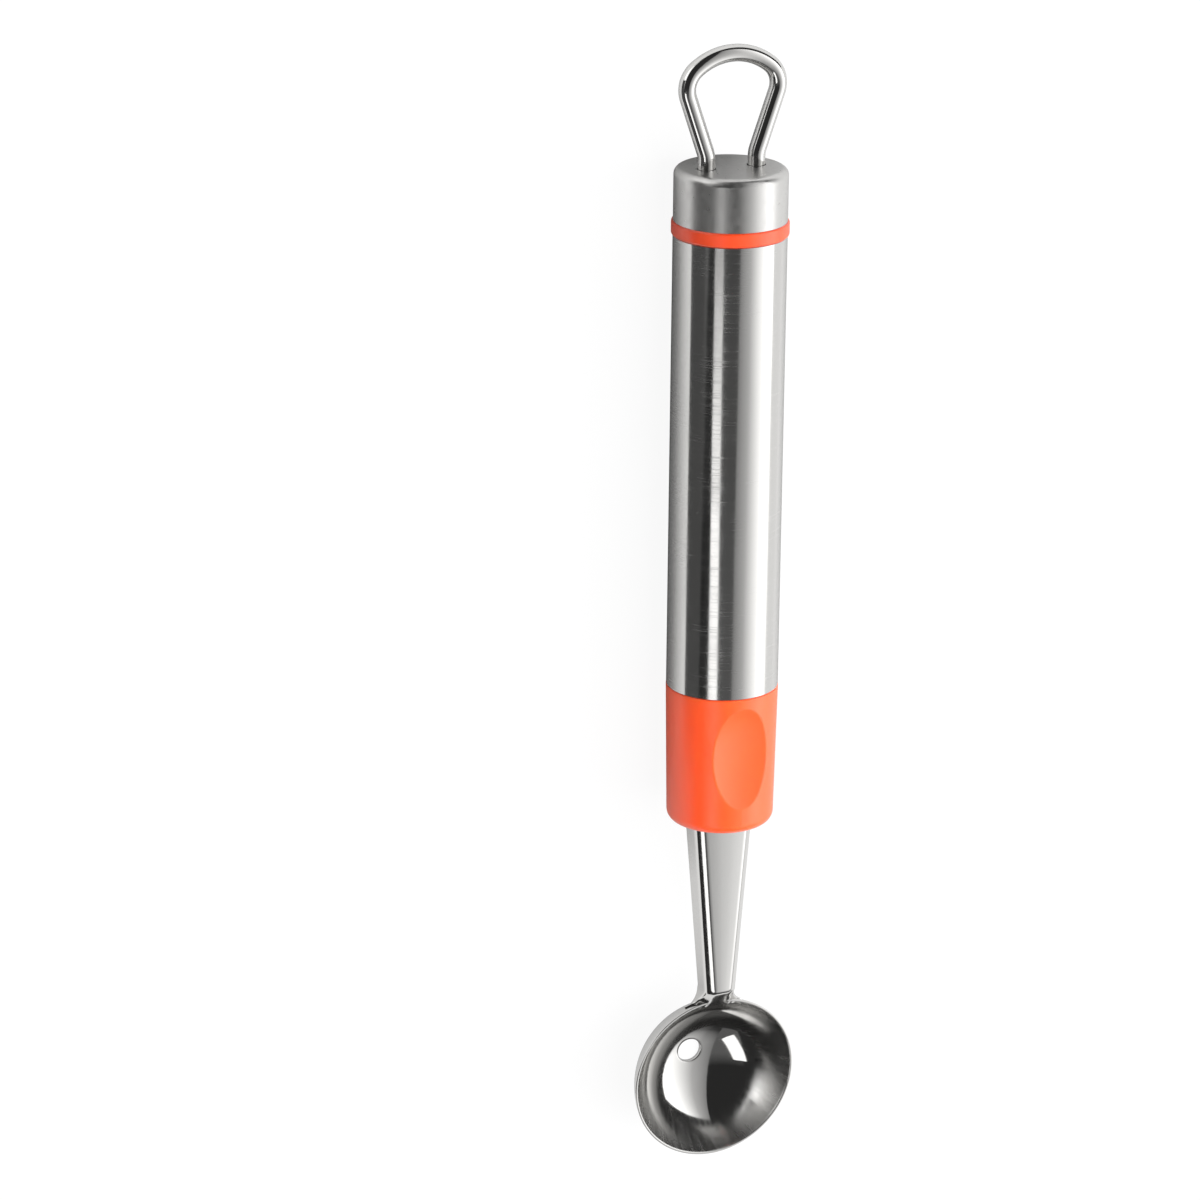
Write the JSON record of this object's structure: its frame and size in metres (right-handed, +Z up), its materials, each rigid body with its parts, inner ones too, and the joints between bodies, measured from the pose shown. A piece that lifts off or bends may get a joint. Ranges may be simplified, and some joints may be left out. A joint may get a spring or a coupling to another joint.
{
  "type": "melon baller",
  "caption": "Kitchen scoop for cutting balls of melon: a round steel bowl with a vent hole on a channel neck, in a steel tube handle with a thumb dish and a hanging loop.",
  "frame": {"origin": "under the middle of the whole tool, at the height of its lowest point, the back of the bowl", "axes": "+X along the handle from the hanging loop to the bowl, +Z up out of the bowl's mouth, +Y across"},
  "size_m": [0.1989, 0.03, 0.0217],
  "materials": {
    "polished_steel": "polished",
    "brushed_steel": "satin",
    "plain_steel": "satin",
    "orange_sleeve": "satin",
    "orange_ring": "satin",
    "core_plastic": "matte"
  },
  "bodies": {
    "root": {"scoop": "polished_steel", "thumb_sleeve": "orange_sleeve", "grip_core": "core_plastic", "tang_pin": "plain_steel", "handle_tube": "brushed_steel", "end_plug": "core_plastic", "accent_ring": "orange_ring", "end_cap": "brushed_steel", "hanging_loop": "polished_steel"}
  },
  "joints": []
}
